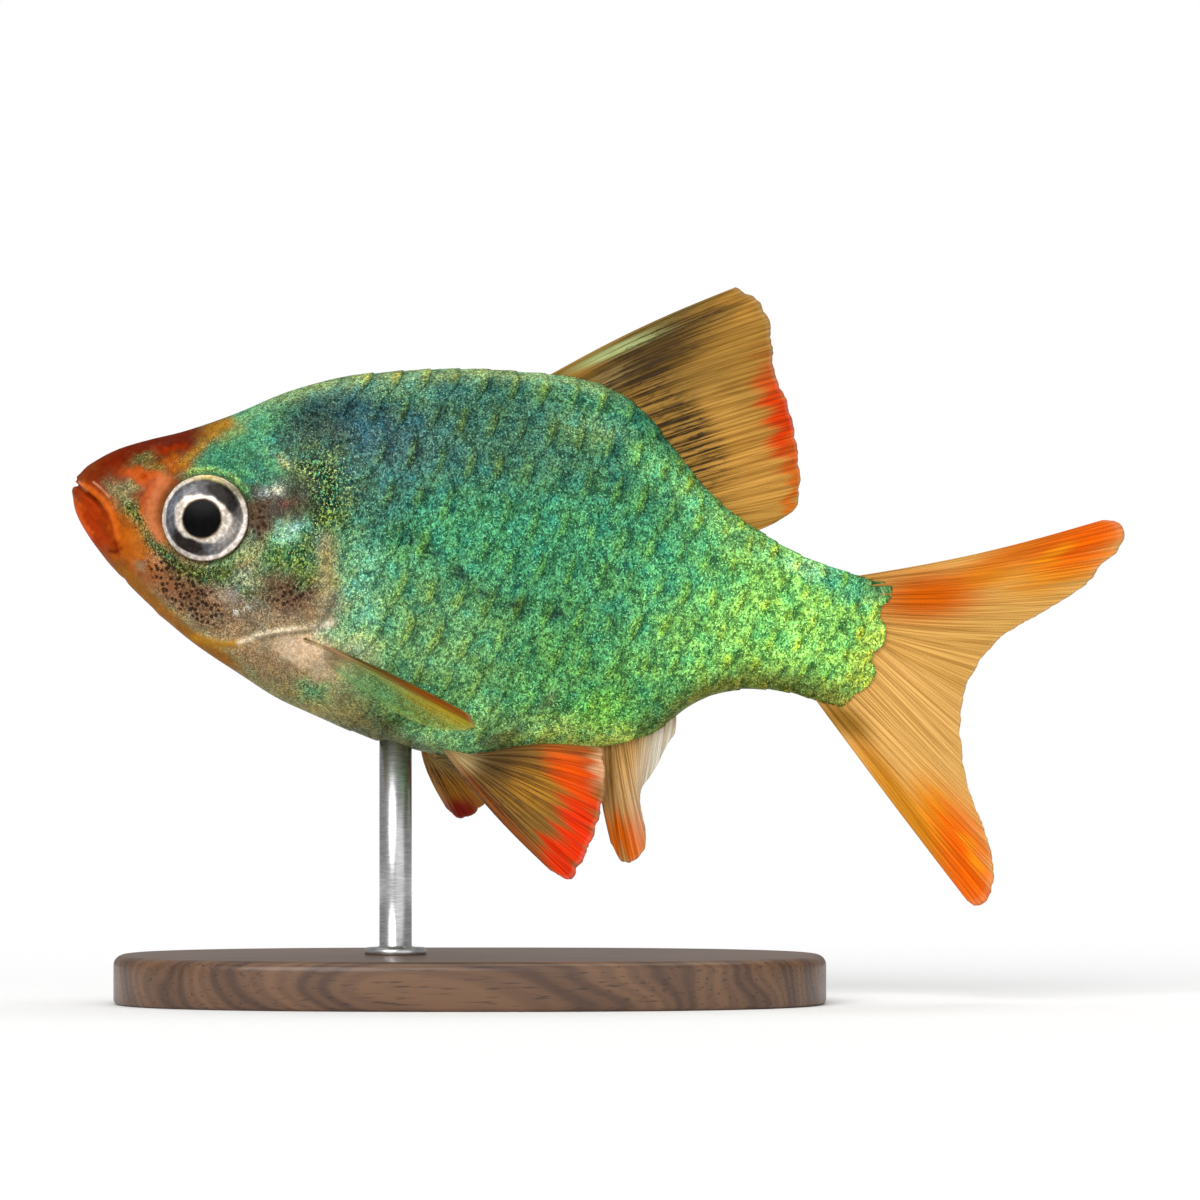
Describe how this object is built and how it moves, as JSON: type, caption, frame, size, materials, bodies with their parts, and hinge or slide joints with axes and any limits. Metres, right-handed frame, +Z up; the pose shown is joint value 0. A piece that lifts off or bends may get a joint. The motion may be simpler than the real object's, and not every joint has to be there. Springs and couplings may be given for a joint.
{
  "type": "tiger barb",
  "caption": "Life-size deep-bodied tiger barb of the green form, swimming head up, with spread fins, held over a low oval base by a short rod.",
  "frame": {"origin": "centre of the bounding box, at the underside of the stand's base", "axes": "+X from the snout to the tail, +Y to the fish's right side, +Z up"},
  "size_m": [0.065, 0.026, 0.0443],
  "materials": {
    "green_skin": "glittering green scales under slime",
    "orange_skin": "smooth wet skin",
    "fin": "thin rayed membrane",
    "eye": "wet and clear",
    "stand_wood": "dark, satin",
    "stand_steel": "satin"
  },
  "bodies": {
    "root": {"head": "green_skin", "trunk": "green_skin", "tail_stalk": "green_skin", "lower_jaw": "orange_skin", "gill_cover_left": "green_skin", "gill_cover_right": "green_skin", "eye_left": "eye", "eye_right": "eye", "stand_base": "stand_wood", "stand_rod": "stand_steel", "dorsal_fin": "fin", "anal_fin": "fin", "tail_fin_upper": "fin", "tail_fin_lower": "fin", "pectoral_fin_left": "fin", "pectoral_fin_right": "fin", "pelvic_fin_left": "fin", "pelvic_fin_right": "fin"}
  },
  "joints": []
}
